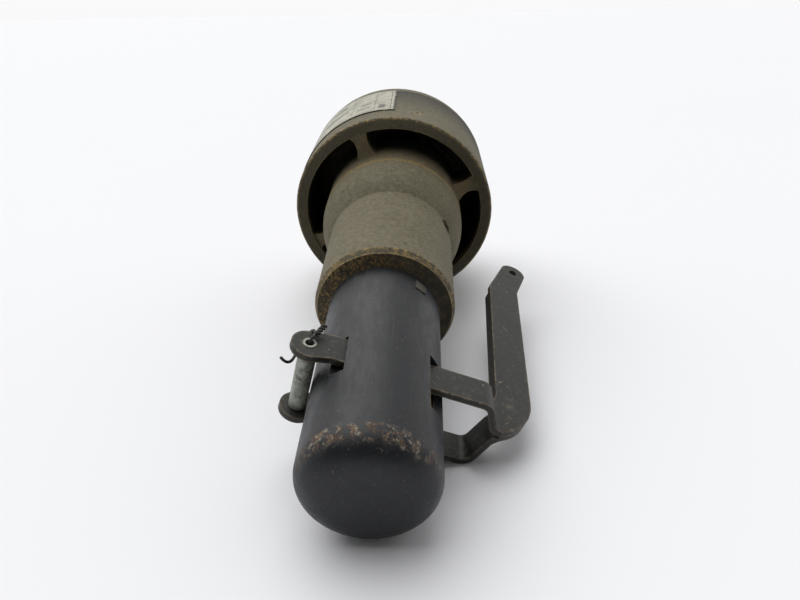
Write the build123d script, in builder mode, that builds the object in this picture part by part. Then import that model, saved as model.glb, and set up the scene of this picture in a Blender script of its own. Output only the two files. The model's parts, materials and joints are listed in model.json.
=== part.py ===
from build123d import *
from math import asin, atan, cos, degrees, hypot, radians, sin, sqrt, tan
import os

# Hand-held signalling key: a closed tube with a sprung plunger, worked by a
# two-strap lever, and a cast head that holds the sounder.  Millimetres.
# Stations are distances along the tube's axis, from its closed end.

# --- grip tube ---------------------------------------------------------------
tube_radius = 19.0
tube_bore_radius = 16.6
tube_length = 98.0
tube_end_round = 8.0
tube_end_wall = 3.0

# --- neck, hub and cup of the head casting -----------------------------------
neck_radius = 24.4
neck_mouth_station = 79.6
neck_lip_depth = 2.3
neck_end_station = 125.0
neck_bore_radius = 17.0
hub_radius = 29.5
hub_land_station = 145.0
hub_front_station = 172.0
hub_chamber_radius = 24.0
hub_chamber_station = 140.0
cup_radius = 43.4
cup_far_radius = 42.3
cup_rim_station = 154.6
cup_rim_round = 1.2
cup_wall = 4.6
web_angle = 47.0
web_count = 4
web_waist = 5.4
web_depth = 14.0

# --- front cover -------------------------------------------------------------
cover_station = 219.8
cover_round = 22.8
cover_wall = 4.5
cover_spigot_length = 6.0
cover_spigot_wall = 2.4
sounder_seat_radius = 18.0
sounder_seat_station = 213.0
inlet_hole_radius = 8.0
gland_nut_radius = 8.5
gland_length = 9.5
cable_radius = 5.0

# --- straps and lever --------------------------------------------------------
strap_thickness = 2.0
strap_width = 9.9
strap_station = 37.8
strap_start = -17.0
upper_strap_level = 10.8
lower_strap_level = -12.7
strap_bend_start = 30.5
strap_bend_end = 35.0
lower_bend_start = 33.0
lower_bend_end = 36.4
strap_bend_round = 3.6
lever_level = 2.4
lever_inner_side = 36.35
lever_width = 12.0
lever_splay = 3.5
lever_bend_station = 113.5
lever_flange_depth = 4.6
eye_radius = 5.2
eye_reach = 17.2
eye_turn = 17.2
eye_hole_radius = 1.8
lever_swing = 14.0

# --- pivot -------------------------------------------------------------------
pivot_offset = 22.0
pivot_station = 36.2
pivot_tilt = 6.3
pivot_pin_radius = 1.9
pivot_barrel_radius = 2.6
pivot_head_radius = 3.6
pivot_head_height = 1.6
pivot_clearance = 0.35
pivot_fit = 0.05
ear_radius = 5.2
lock_wire_radius = 0.4

# --- plunger and spring ------------------------------------------------------
plunger_radius = 16.2
plunger_flat_level = 9.4
rear_land_station = 26.5
rear_land_length = 6.0
front_land_station = 50.0
front_land_length = 5.5
spring_spigot_radius = 8.6
spring_spigot_length = 3.5
plunger_rod_radius = 4.0
plunger_travel = 9.0
spring_radius = 10.6
spring_wire_radius = 0.9
spring_turns = 6
spring_seat_thickness = 1.6
spring_seat_bore = 7.6

# --- small fits --------------------------------------------------------------
touch_gap = 0.1
running_gap = 0.06
cut_margin = 1.0

# --- how the object lies -----------------------------------------------------
# It rests on the round of the closed end, on the rim of the cup and on the
# belly of the lower strap.
rest_run = cup_rim_station + cup_rim_round - tube_end_round
rest_rise = cup_radius - cup_rim_round - tube_radius + tube_end_round
slope = degrees(atan(rest_rise / rest_run)
                - asin((tube_end_round - cup_rim_round) / hypot(rest_run, rest_rise)))
slope_sin = sin(radians(slope))
slope_cos = cos(radians(slope))
end_height = tube_end_round + (tube_radius - tube_end_round) * slope_cos - tube_end_round * slope_sin

# The roll about the axis brings the round of the belly's bend down to the floor.
lever_middle = lever_level + strap_thickness / 2
upper_middle = upper_strap_level + strap_thickness / 2
lower_middle = lower_strap_level + strap_thickness / 2
tail_middle = lever_level - strap_thickness / 2
belly_station = strap_station - strap_width / 2
belly_height = (end_height + belly_station * slope_sin) / slope_cos
belly_turn = atan((tail_middle - lower_middle) / (lower_bend_end - lower_bend_start))
belly_side = lower_bend_start - strap_bend_round * tan(belly_turn / 2)
belly_rise = -(lower_middle + strap_bend_round)
belly_fall = belly_height - strap_bend_round - strap_thickness / 2
roll = degrees(asin(belly_fall / hypot(belly_side, belly_rise)) - atan(belly_rise / belly_side))
roll_sin = sin(radians(roll))
roll_cos = cos(radians(roll))

# Unit vectors: along the tube, sideways to the lever, and across the straps.
along = Vector(0, slope_cos, slope_sin)
upright = Vector(0, -slope_sin, slope_cos)
sideways = Vector(1, 0, 0) * roll_cos - upright * roll_sin
across = Vector(1, 0, 0) * roll_sin + upright * roll_cos

# The pivot pin leans, with its upper end further out from the tube.
lean = radians(pivot_tilt)
pin_direction = across * cos(lean) - sideways * sin(lean)
pin_side = sideways * cos(lean) + across * sin(lean)

# The lever's eye: a lug in the plane of the bar, turned outwards at its end.
splay_slope = tan(radians(lever_splay))
bar_middle = lever_inner_side + lever_width / 2
lug_root = Vector(bar_middle + splay_slope * (lever_bend_station - strap_station),
                  lever_bend_station, 0)
lug_heading = radians(lever_splay + eye_turn)
eye_place = lug_root + Vector(sin(lug_heading), cos(lug_heading), 0) * eye_reach

# The origin is under the middle of the object, on the surface it lies on.
far_end_length = cover_station + gland_length
near_edge = tube_end_round * slope_cos - (tube_radius - tube_end_round) * slope_sin - tube_end_round
far_edge = far_end_length * slope_cos + gland_nut_radius * slope_sin
eye_middle = sideways * eye_place.X + along * eye_place.Y + across * lever_level
right_edge = eye_middle.X + eye_radius * sqrt(1 - across.X ** 2) + strap_thickness * across.X
left_edge = -cup_radius
closed_end = Vector(-(left_edge + right_edge) / 2, -(near_edge + far_edge) / 2, end_height)

# Strap plane: x to the lever's side, y along the tube, z across the straps.
# It also holds the half outlines of everything turned about the tube's axis.
strap_plane = Plane(origin=closed_end, x_dir=sideways, z_dir=across)
tube_axis = Axis(closed_end, along)
pin_middle = closed_end - sideways * pivot_offset + along * pivot_station


def station(distance):
    """A plane square to the tube; x is across the straps, y to the lever's side."""
    return Plane(origin=closed_end + along * distance, x_dir=across, z_dir=along)


def level(height):
    """A plane parallel to the straps, at a height across them."""
    return Plane(origin=closed_end + across * height, x_dir=sideways, z_dir=across)


def pin_level(height):
    """A plane square to the pivot pin, at a height along it."""
    return Plane(origin=pin_middle + pin_direction * height, x_dir=pin_side, z_dir=pin_direction)


def side_plane(distance):
    """A plane that cuts the straps lengthwise; x to the lever's side, y across."""
    return Plane(origin=closed_end + along * distance, x_dir=sideways, z_dir=-along)


def turn(*corners, mode=Mode.ADD):
    """Turn a closed outline of (radius, station) corners about the tube's axis."""
    with BuildSketch(strap_plane) as outline:
        with BuildLine():
            Polyline(*corners, close=True)
        make_face()
    revolve(outline.sketch, axis=tube_axis, mode=mode)


def turn_ring(inner, outer, low, high, mode=Mode.ADD):
    """Turn a plain ring, or a disc where the inner radius is 0."""
    turn((inner, low), (outer, low), (outer, high), (inner, high), mode=mode)


def around(angle, radius, distance):
    """A plane on a cylinder about the axis; z points outwards, x along the tube."""
    outward = across * cos(radians(angle)) + sideways * sin(radians(angle))
    return Plane(origin=closed_end + along * distance + outward * radius, x_dir=along, z_dir=outward)


os.makedirs("parts", exist_ok=True)


def save(piece, name):
    piece.label = name
    export_step(piece, f"parts/{name}.step")


# --- grip tube ---------------------------------------------------------------
# Straight windows let the straps through: close ones at the pivot's side, and
# longer ones at the lever's side, where the straps swing towards the closed end.
window_far = 43.15
pivot_window_near = 28.95
lever_window_near = 22.5
window_corner = 0.8
window_reach = 0.75 * tube_radius
lever_upper_window = (8.9, 15.9)
pivot_upper_window = (9.9, 13.6)
lower_window = (-16.4, -9.7)
windows = (
    (1, lever_window_near, lever_upper_window),
    (1, lever_window_near, lower_window),
    (-1, pivot_window_near, pivot_upper_window),
    (-1, pivot_window_near, lower_window),
)
key_angle = 20.0
key_station = 73.2
key_size = 4.2
key_depth = 4.4
key_stand = 0.3

inner_round = tube_end_round - tube_end_wall
with BuildPart() as grip_tube:
    with BuildSketch(strap_plane):
        with BuildLine():
            Line((0, 0), (tube_radius - tube_end_round, 0))
            RadiusArc((tube_radius - tube_end_round, 0), (tube_radius, tube_end_round), -tube_end_round)
            Polyline((tube_radius, tube_end_round), (tube_radius, tube_length),
                     (tube_bore_radius, tube_length), (tube_bore_radius, tube_end_round))
            RadiusArc((tube_bore_radius, tube_end_round),
                      (tube_bore_radius - inner_round, tube_end_wall), inner_round)
            Polyline((tube_bore_radius - inner_round, tube_end_wall), (0, tube_end_wall), (0, 0))
        make_face()
    revolve(axis=tube_axis)
    for side, near, (low, high) in windows:
        with BuildSketch(level(low)):
            with Locations((side * window_reach, (near + window_far) / 2)):
                RectangleRounded(tube_radius, window_far - near, window_corner)
        extrude(amount=high - low, mode=Mode.SUBTRACT)
    with BuildSketch(around(key_angle, tube_bore_radius - cut_margin, key_station)):
        Rectangle(key_size, key_size)
    extrude(amount=tube_radius, mode=Mode.SUBTRACT)
save(grip_tube.part, "grip_tube")

# The key fixes the guide bush to the tube.
key_bottom = tube_radius + key_stand - key_depth
with BuildPart() as locating_key:
    with BuildSketch(around(key_angle, key_bottom, key_station)):
        Rectangle(key_size, key_size)
    extrude(amount=key_depth)
save(locating_key.part, "locating_key")

# --- gland ring --------------------------------------------------------------
ring_flange_radius = 23.3
ring_thread_radius = 22.0
ring_flange_depth = 2.5
ring_length = 12.4
ring_face_rise = 1.5
ring_flange_station = neck_mouth_station + ring_flange_depth
ring_end_station = neck_mouth_station + ring_length
with BuildPart() as gland_ring:
    turn(
        (tube_radius, neck_mouth_station - ring_face_rise),
        (ring_flange_radius, neck_mouth_station),
        (ring_flange_radius, ring_flange_station),
        (ring_thread_radius, ring_flange_station),
        (ring_thread_radius, ring_end_station),
        (tube_radius, ring_end_station),
    )
save(gland_ring.part, "gland_ring")

# --- head casting ------------------------------------------------------------
# Neck, hub, webs and cup are one casting.  The cup opens back towards the tube,
# and the sound leaves through the gap between the hub and the cup's rim.
cup_joint_station = cover_station - cover_round
cup_inner_radius = cup_far_radius - cup_wall
rim_inner_radius = 38.6
rim_inner_depth = 0.6
cover_thread_radius = cup_inner_radius + cover_spigot_wall
cover_thread_station = cup_joint_station - cover_spigot_length
hub_bulge = (27.9, 132.5)
web_near_station = 149.0
web_saddle = (34.3, 156.0)
web_root_width = 15.0
web_inner_radius = 27.5
web_outer_radius = 40.4

web_middle = (web_inner_radius + web_outer_radius) / 2
web_root_in = web_inner_radius - cut_margin
web_root_out = web_outer_radius + cut_margin
web_root = web_root_width / 2
with BuildSketch() as web_arm:
    with BuildLine():
        ThreePointArc((web_root_in, -web_root), (web_middle, -web_waist / 2), (web_root_out, -web_root))
        Line((web_root_out, -web_root), (web_root_out, web_root))
        ThreePointArc((web_root_out, web_root), (web_middle, web_waist / 2), (web_root_in, web_root))
        Line((web_root_in, web_root), (web_root_in, -web_root))
    make_face()

with BuildPart() as webs:
    with BuildSketch(strap_plane):
        with BuildLine():
            ThreePointArc((web_inner_radius, web_near_station), web_saddle,
                          (web_outer_radius, cup_rim_station + rim_inner_depth))
            Polyline((web_outer_radius, cup_rim_station + rim_inner_depth),
                     (web_outer_radius, cup_rim_station + web_depth),
                     (web_inner_radius, cup_rim_station + web_depth),
                     (web_inner_radius, web_near_station))
        make_face()
    revolve(axis=tube_axis)
    with BuildSketch(station(web_near_station)):
        with PolarLocations(0, web_count, start_angle=web_angle):
            add(web_arm.sketch)
    extrude(amount=web_depth * 2, mode=Mode.INTERSECT)

hub_cover_thickness = 2.5
hub_cover_top = hub_front_station + hub_cover_thickness
hub_screw_ring = (hub_radius + hub_chamber_radius) / 2
hub_screw_radius = 1.2
hub_screw_length = 7.0
hub_screw_count = 4


def hub_screw_holes():
    """Cut the cover's screw holes through the piece being made."""
    with BuildSketch(station(hub_cover_top)) as holes:
        with PolarLocations(hub_screw_ring, hub_screw_count):
            Circle(hub_screw_radius)
    extrude(holes.sketch, amount=-hub_screw_length, mode=Mode.SUBTRACT)


screw_angle = 45.0
screw_station = 123.6
screw_radius = 1.8
screw_length = 4.6
screw_recess = 2.2
screw_slot_length = 7.0
screw_slot_width = 4.4
driver_slot_width = 0.6
driver_slot_depth = 0.8
with BuildPart() as head_casting:
    with BuildSketch(strap_plane):
        with BuildLine():
            Polyline((ring_flange_radius, neck_mouth_station),
                     (neck_radius, neck_mouth_station + neck_lip_depth),
                     (neck_radius, neck_end_station))
            ThreePointArc((neck_radius, neck_end_station), hub_bulge, (hub_radius, hub_land_station))
            Polyline((hub_radius, hub_land_station), (hub_radius, hub_front_station),
                     (hub_chamber_radius, hub_front_station), (hub_chamber_radius, hub_chamber_station),
                     (neck_bore_radius, hub_chamber_station), (neck_bore_radius, tube_length),
                     (tube_radius, tube_length), (tube_radius, ring_end_station),
                     (ring_thread_radius, ring_end_station), (ring_thread_radius, ring_flange_station),
                     (ring_flange_radius, ring_flange_station), (ring_flange_radius, neck_mouth_station))
        make_face()
    revolve(axis=tube_axis)
    with BuildSketch(strap_plane):
        with BuildLine():
            Line((rim_inner_radius, cup_rim_station + rim_inner_depth),
                 (cup_radius - cup_rim_round, cup_rim_station))
            RadiusArc((cup_radius - cup_rim_round, cup_rim_station),
                      (cup_radius, cup_rim_station + cup_rim_round), -cup_rim_round)
            Polyline((cup_radius, cup_rim_station + cup_rim_round), (cup_far_radius, cup_joint_station),
                     (cover_thread_radius, cup_joint_station), (cover_thread_radius, cover_thread_station),
                     (cup_inner_radius, cover_thread_station),
                     (rim_inner_radius, cup_rim_station + rim_inner_depth))
        make_face()
    revolve(axis=tube_axis)
    add(webs.part)
    with BuildSketch(around(screw_angle, neck_radius - screw_recess, screw_station)):
        SlotOverall(screw_slot_length, screw_slot_width, rotation=90)
    extrude(amount=screw_recess * 3, mode=Mode.SUBTRACT)
    with BuildSketch(around(screw_angle, neck_bore_radius - cut_margin, screw_station)):
        Circle(screw_radius)
    extrude(amount=neck_radius - neck_bore_radius, mode=Mode.SUBTRACT)
    hub_screw_holes()
save(head_casting.part, "head_casting")

with BuildPart() as neck_set_screw:
    with BuildSketch(around(screw_angle, neck_radius - screw_recess, screw_station)):
        Circle(screw_radius)
    extrude(amount=-screw_length)
    with BuildSketch(around(screw_angle, neck_radius - screw_recess, screw_station)):
        Rectangle(screw_radius * 3, driver_slot_width)
    extrude(amount=-driver_slot_depth, mode=Mode.SUBTRACT)
save(neck_set_screw.part, "neck_set_screw")

# --- front cover -------------------------------------------------------------
cover_flat_radius = cup_far_radius - cover_round
cover_inner_round = cover_round - cover_wall
cover_inner_station = cover_station - cover_wall
with BuildPart() as front_cover:
    with BuildSketch(strap_plane):
        with BuildLine():
            RadiusArc((cup_far_radius, cup_joint_station), (cover_flat_radius, cover_station), -cover_round)
            Polyline((cover_flat_radius, cover_station), (inlet_hole_radius, cover_station),
                     (inlet_hole_radius, sounder_seat_station), (sounder_seat_radius, sounder_seat_station),
                     (sounder_seat_radius, cover_inner_station), (cover_flat_radius, cover_inner_station))
            RadiusArc((cover_flat_radius, cover_inner_station),
                      (cover_flat_radius + cover_inner_round, cup_joint_station), cover_inner_round)
            Polyline((cover_flat_radius + cover_inner_round, cup_joint_station),
                     (cover_flat_radius + cover_inner_round, cover_thread_station),
                     (cover_thread_radius, cover_thread_station), (cover_thread_radius, cup_joint_station),
                     (cup_far_radius, cup_joint_station))
        make_face()
    revolve(axis=tube_axis)
save(front_cover.part, "front_cover")

# --- cable inlet -------------------------------------------------------------
inlet_flange_radius = 12.5
inlet_flange_depth = 3.2
inlet_cap_station = cover_station + inlet_flange_depth
inlet_seal_top = inlet_cap_station + 3.6
inlet_seal_radius = gland_nut_radius - 1.2
inlet_cap_chamfer = 1.0
with BuildPart() as inlet_body:
    turn_ring(cable_radius, inlet_hole_radius, sounder_seat_station, inlet_cap_station)
    with BuildSketch(station(cover_station)):
        RegularPolygon(inlet_flange_radius, 6)
        Circle(cable_radius, mode=Mode.SUBTRACT)
    extrude(amount=inlet_flange_depth)
save(inlet_body.part, "inlet_body")

with BuildPart() as inlet_seal:
    turn_ring(cable_radius, inlet_seal_radius, inlet_cap_station, inlet_seal_top)
save(inlet_seal.part, "inlet_seal")

with BuildPart() as inlet_cap:
    turn(
        (inlet_seal_radius, inlet_cap_station),
        (gland_nut_radius, inlet_cap_station),
        (gland_nut_radius, far_end_length - inlet_cap_chamfer),
        (gland_nut_radius - inlet_cap_chamfer, far_end_length),
        (cable_radius, far_end_length),
        (cable_radius, inlet_seal_top),
        (inlet_seal_radius, inlet_seal_top),
    )
save(inlet_cap.part, "inlet_cap")

# --- sounder -----------------------------------------------------------------
pot_radius = 24.0
pot_wall = 3.0
pot_rim_station = 192.0
core_radius = 7.0
lead_hole_radius = 3.2
core_gap = 1.0
bobbin_radius = 20.0
bobbin_wall = 1.3
diaphragm_thickness = 0.6
clamp_thickness = 2.5
clamp_inner_radius = 20.5
clamp_screw_ring = pot_radius - pot_wall / 2
clamp_screw_radius = 1.1
clamp_screw_head = 1.9
clamp_screw_length = 9.0
clamp_screw_rise = 1.4
bobbin_gap = 1.0
bobbin_foot_gap = 0.5
winding_inset = 1.0
clamp_screw_count = 6
pot_base_station = sounder_seat_station - pot_wall
diaphragm_station = pot_rim_station - diaphragm_thickness
clamp_station = diaphragm_station - clamp_thickness


def clamp_holes():
    """Cut the ring of clamp-screw holes through the piece being made."""
    with BuildSketch(station(clamp_station)) as holes:
        with PolarLocations(clamp_screw_ring, clamp_screw_count):
            Circle(clamp_screw_radius)
    extrude(holes.sketch, amount=clamp_screw_length, mode=Mode.SUBTRACT)


with BuildPart() as sounder_pot:
    turn_ring(lead_hole_radius, pot_radius, pot_base_station, sounder_seat_station)
    turn_ring(pot_radius - pot_wall, pot_radius, pot_rim_station, pot_base_station)
    clamp_holes()
save(sounder_pot.part, "sounder_pot")

with BuildPart() as sounder_core:
    turn_ring(lead_hole_radius, core_radius, pot_rim_station + core_gap, pot_base_station)
save(sounder_core.part, "sounder_core")

bobbin_near = pot_rim_station + core_gap + bobbin_gap
bobbin_far = pot_base_station - bobbin_foot_gap
bobbin_core = core_radius + bobbin_wall
with BuildPart() as sounder_bobbin:
    turn(
        (core_radius, bobbin_near),
        (bobbin_radius, bobbin_near),
        (bobbin_radius, bobbin_near + bobbin_wall),
        (bobbin_core, bobbin_near + bobbin_wall),
        (bobbin_core, bobbin_far - bobbin_wall),
        (bobbin_radius, bobbin_far - bobbin_wall),
        (bobbin_radius, bobbin_far),
        (core_radius, bobbin_far),
    )
save(sounder_bobbin.part, "sounder_bobbin")

with BuildPart() as coil_winding:
    turn_ring(bobbin_core, bobbin_radius - winding_inset, bobbin_near + bobbin_wall, bobbin_far - bobbin_wall)
save(coil_winding.part, "coil_winding")

with BuildPart() as diaphragm:
    turn_ring(0, pot_radius, diaphragm_station, pot_rim_station)
    clamp_holes()
save(diaphragm.part, "diaphragm")

with BuildPart() as diaphragm_clamp:
    turn_ring(clamp_inner_radius, pot_radius, clamp_station, diaphragm_station)
    clamp_holes()
save(diaphragm_clamp.part, "diaphragm_clamp")

with BuildPart() as clamp_screws:
    with BuildSketch(station(clamp_station)):
        with PolarLocations(clamp_screw_ring, clamp_screw_count):
            Circle(clamp_screw_radius)
    extrude(amount=clamp_screw_length)
    with BuildSketch(station(clamp_station)):
        with PolarLocations(clamp_screw_ring, clamp_screw_count):
            Circle(clamp_screw_head)
    extrude(amount=-clamp_screw_rise)
save(clamp_screws.part, "clamp_screws")

# --- nameplate ---------------------------------------------------------------
plate_near = 165.2
plate_far = 195.4
plate_thickness = 0.4
plate_start = 215.0
plate_arc = 105.0


def cup_side(distance):
    """Outer radius of the cup, which tapers slightly towards the front."""
    side_start = cup_rim_station + cup_rim_round
    share = (distance - side_start) / (cup_joint_station - side_start)
    return cup_radius + (cup_far_radius - cup_radius) * share


plate_edge = sideways * cos(radians(plate_start)) + across * sin(radians(plate_start))
with BuildPart() as nameplate:
    with BuildSketch(Plane(origin=closed_end, x_dir=plate_edge, z_dir=plate_edge.cross(along))):
        with BuildLine():
            Polyline(
                (cup_side(plate_near), plate_near),
                (cup_side(plate_near) + plate_thickness, plate_near),
                (cup_side(plate_far) + plate_thickness, plate_far),
                (cup_side(plate_far), plate_far),
                close=True,
            )
        make_face()
    revolve(axis=tube_axis, revolution_arc=plate_arc)
save(nameplate.part, "nameplate")

# --- straps and lever --------------------------------------------------------
# The upper strap and the lever are one pressing.  The lower strap ends in a tail
# riveted under the lever's root.  Both are bent strips, trimmed to an outline.
root_near = strap_station - strap_width / 2
root_far = strap_station + strap_width / 2
root_side = 37.5
root_curve = (44.4, 37.8)
root_end = 48.0
tail_end = 48.5
bar_near = 52.0
bar_far = lever_bend_station
bar_corner = 50.5
bar_corner_curve = (35.2, 45.2)
bar_corner_side = 31.0
tail_corner_side = 39.8
tail_corner_curve = (38.7, 44.9)
tail_root_side = 35.0
blank_side = 60.0
flange_near = 51.5
outer_flange_near = 53.0
flange_far = lever_bend_station - 3.0
lug_half_width = lever_width / 2 - 0.4
lug_overlap = 2.2
rivet_place = (42.4, 41.5)
lever_rivet_radius = 2.0
rivet_foot_radius = 2.8
rivet_foot_height = 1.0


def inner_side(distance):
    """Sideways place of the bar's inner edge, which splays away from the tube."""
    return lever_inner_side + splay_slope * (distance - strap_station)


def outer_side(distance):
    """Sideways place of the bar's outer edge."""
    return inner_side(distance) + lever_width


def bent_strip(*path):
    """A strip, wider than the strap, bent along a path of (sideways, across) corners."""
    with BuildSketch(side_plane(bar_near)) as profile:
        with BuildLine():
            FilletPolyline(*path, radius=strap_bend_round)
        trace(line_width=strap_thickness)
    extrude(profile.sketch, amount=bar_near - root_near)


def near_edge():
    """The edge shared by both outlines, from the pivot's side round to the bar."""
    Line((strap_start, root_near), (root_side, root_near))
    ThreePointArc((root_side, root_near), root_curve, (outer_side(root_end), root_end))


def far_edge_line(corner_side):
    """The straight far edge of a strap and its end beside the pivot."""
    Polyline((corner_side, root_far), (strap_start, root_far), (strap_start, root_near))


def trim(outline):
    """Keep only what lies inside an outline drawn in the plane of the straps."""
    extrude(outline.sketch, amount=blank_side, both=True, mode=Mode.INTERSECT)


def ear(height):
    """The round end of a strap, with its leaning pin hole."""
    middle = height + strap_thickness / 2
    ear_place = (-pivot_offset - tan(lean) * middle, pivot_station)
    with BuildSketch(level(height)) as round_end:
        with BuildLine():
            CenterArc(ear_place, ear_radius, 0, 360)
            Line((strap_start, root_near), (strap_start, root_far))
        make_hull()
    extrude(round_end.sketch, amount=strap_thickness)
    with BuildSketch(pin_level(middle / cos(lean))) as pin_hole:
        Circle(pivot_pin_radius + pivot_fit)
    extrude(pin_hole.sketch, amount=strap_thickness, both=True, mode=Mode.SUBTRACT)


lug_plane = Plane(
    origin=closed_end + sideways * lug_root.X + along * lug_root.Y + across * lever_level,
    x_dir=sideways * cos(lug_heading) - along * sin(lug_heading),
    z_dir=across,
)
with BuildPart() as upper_strip:
    bent_strip((strap_start, upper_middle), (strap_bend_start, upper_middle),
               (strap_bend_end, lever_middle), (blank_side, lever_middle))
    with BuildSketch(strap_plane) as upper_outline:
        with BuildLine():
            near_edge()
            Polyline((outer_side(root_end), root_end), (outer_side(bar_near), bar_near),
                     (inner_side(bar_near), bar_near), (inner_side(bar_corner), bar_corner))
            ThreePointArc((inner_side(bar_corner), bar_corner), bar_corner_curve,
                          (bar_corner_side, root_far))
            far_edge_line(bar_corner_side)
        make_face()
    trim(upper_outline)

with BuildPart() as lever_bar:
    add(upper_strip.part)
    ear(upper_strap_level)
    with BuildSketch(level(lever_level)):
        with BuildLine():
            Polyline((inner_side(bar_near), bar_near), (outer_side(bar_near), bar_near),
                     (outer_side(bar_far), bar_far), (inner_side(bar_far), bar_far), close=True)
        make_face()
    extrude(amount=strap_thickness)
    with BuildSketch(level(lever_level)):
        with BuildLine():
            Polyline((inner_side(flange_near), flange_near), (inner_side(flange_far), flange_far),
                     (inner_side(flange_far) + strap_thickness, flange_far),
                     (inner_side(flange_near) + strap_thickness, flange_near), close=True)
        make_face()
        with BuildLine():
            Polyline((outer_side(outer_flange_near) - strap_thickness, outer_flange_near),
                     (outer_side(flange_far) - strap_thickness, flange_far),
                     (outer_side(flange_far), flange_far),
                     (outer_side(outer_flange_near), outer_flange_near), close=True)
        make_face()
    extrude(amount=strap_thickness - lever_flange_depth)
    with BuildSketch(lug_plane):
        with BuildLine():
            Line((-lug_half_width, -lug_overlap), (lug_half_width, -lug_overlap))
            CenterArc((0, eye_reach), eye_radius, 0, 360)
        make_hull()
    extrude(amount=strap_thickness)
    with BuildSketch(level(lever_level)):
        with Locations((eye_place.X, eye_place.Y)):
            Circle(eye_hole_radius)
        with Locations(rivet_place):
            Circle(lever_rivet_radius)
    extrude(amount=strap_thickness, mode=Mode.SUBTRACT)
save(lever_bar.part, "lever_bar")

tail_level = lever_level - strap_thickness
with BuildPart() as lower_strip:
    bent_strip((strap_start, lower_middle), (lower_bend_start, lower_middle),
               (lower_bend_end, tail_middle), (blank_side, tail_middle))
    with BuildSketch(strap_plane) as lower_outline:
        with BuildLine():
            near_edge()
            Polyline((outer_side(root_end), root_end), (outer_side(tail_end), tail_end),
                     (tail_corner_side, tail_end))
            ThreePointArc((tail_corner_side, tail_end), tail_corner_curve, (tail_root_side, root_far))
            far_edge_line(tail_root_side)
        make_face()
    trim(lower_outline)

with BuildPart() as lower_strap:
    add(lower_strip.part)
    ear(lower_strap_level)
    with BuildSketch(level(tail_level)):
        with Locations(rivet_place):
            Circle(lever_rivet_radius)
    extrude(amount=strap_thickness, mode=Mode.SUBTRACT)
save(lower_strap.part, "lower_strap")

with BuildPart() as lever_rivet:
    with BuildSketch(level(tail_level)):
        with Locations(rivet_place):
            Circle(lever_rivet_radius)
    extrude(amount=strap_thickness * 2)
    with BuildSketch(level(tail_level)):
        with Locations(rivet_place):
            Circle(rivet_foot_radius)
    extrude(amount=-rivet_foot_height, taper=25)
save(lever_rivet.part, "lever_rivet")

# --- pivot -------------------------------------------------------------------
pin_stand = 0.3
pin_hollow_radius = 1.3
pin_hollow_depth = 6.0
pin_top = (upper_strap_level + strap_thickness) / cos(lean) + pin_stand
pin_bottom = lower_strap_level / cos(lean) - pivot_clearance - touch_gap
with BuildPart() as pivot_pin:
    with BuildSketch(pin_level(pin_bottom)):
        Circle(pivot_pin_radius)
    extrude(amount=pin_top - pin_bottom)
    with BuildSketch(pin_level(pin_bottom)):
        Circle(pivot_head_radius)
    extrude(amount=-pivot_head_height, taper=15)
    with BuildSketch(pin_level(pin_top)):
        Circle(pin_hollow_radius)
    extrude(amount=-pin_hollow_depth, mode=Mode.SUBTRACT)
save(pivot_pin.part, "pivot_pin")

barrel_low = (lower_strap_level + strap_thickness) / cos(lean) + pivot_clearance
barrel_high = upper_strap_level / cos(lean) - pivot_clearance
with BuildPart() as pivot_barrel:
    with BuildSketch(pin_level(barrel_low)):
        Circle(pivot_barrel_radius)
        Circle(pivot_pin_radius + pivot_fit, mode=Mode.SUBTRACT)
    extrude(amount=barrel_high - barrel_low)
save(pivot_barrel.part, "pivot_barrel")

# The wire hooks past the barrel, rises beyond the ear and lies on top of it.
wire_top = upper_strap_level + strap_thickness + lock_wire_radius + touch_gap
wire_bend = 0.9
wire_route = [
    strap_plane.from_local_coords(point)
    for point in (
        (-29.2, 31.4, 9.2),
        (-27.2, 32.4, 7.6),
        (-25.9, 35.6, 7.2),
        (-25.7, 39.8, 7.6),
        (-23.4, 43.0, 8.8),
        (-20.9, 43.2, wire_top),
        (-18.5, 41.0, wire_top),
        (-19.3, 38.0, wire_top),
    )
]
with BuildPart() as locking_wire:
    with BuildLine():
        route = FilletPolyline(*wire_route, radius=wire_bend)
    with BuildSketch(Plane(origin=route @ 0, z_dir=route % 0)):
        Circle(lock_wire_radius)
    sweep()
save(locking_wire.part, "locking_wire")

# --- plunger and return spring -----------------------------------------------
rear_land_end = rear_land_station + rear_land_length
front_land_end = front_land_station + front_land_length
spring_seat_top = tube_end_wall + spring_seat_thickness
rod_start = 44.0
with BuildPart() as plunger:
    turn_ring(0, plunger_radius, rear_land_station, front_land_end)
    turn_ring(0, spring_spigot_radius, rear_land_station - spring_spigot_length, rear_land_station)
    for side in (-1, 1):
        with BuildSketch(side_plane(front_land_station)):
            with Locations((0, side * (plunger_flat_level + plunger_radius / 2))):
                Rectangle(plunger_radius * 2 + cut_margin, plunger_radius)
        extrude(amount=front_land_station - rear_land_end, mode=Mode.SUBTRACT)
    turn_ring(0, plunger_rod_radius, rod_start, front_land_end, mode=Mode.SUBTRACT)
save(plunger.part, "plunger")

with BuildPart() as spring_seat:
    turn_ring(spring_seat_bore, tube_bore_radius - inner_round, tube_end_wall, spring_seat_top)
save(spring_seat.part, "spring_seat")

spring_low = spring_seat_top + spring_wire_radius
spring_high = rear_land_station - spring_wire_radius
spring_height = spring_high - spring_low
coil = station(spring_low) * Helix(spring_height / spring_turns, spring_height, spring_radius)
with BuildPart() as return_spring:
    with BuildSketch(Plane(origin=coil @ 0, z_dir=coil % 0)):
        Circle(spring_wire_radius)
    sweep(path=coil, is_frenet=True)
save(return_spring.part, "return_spring")

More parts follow.
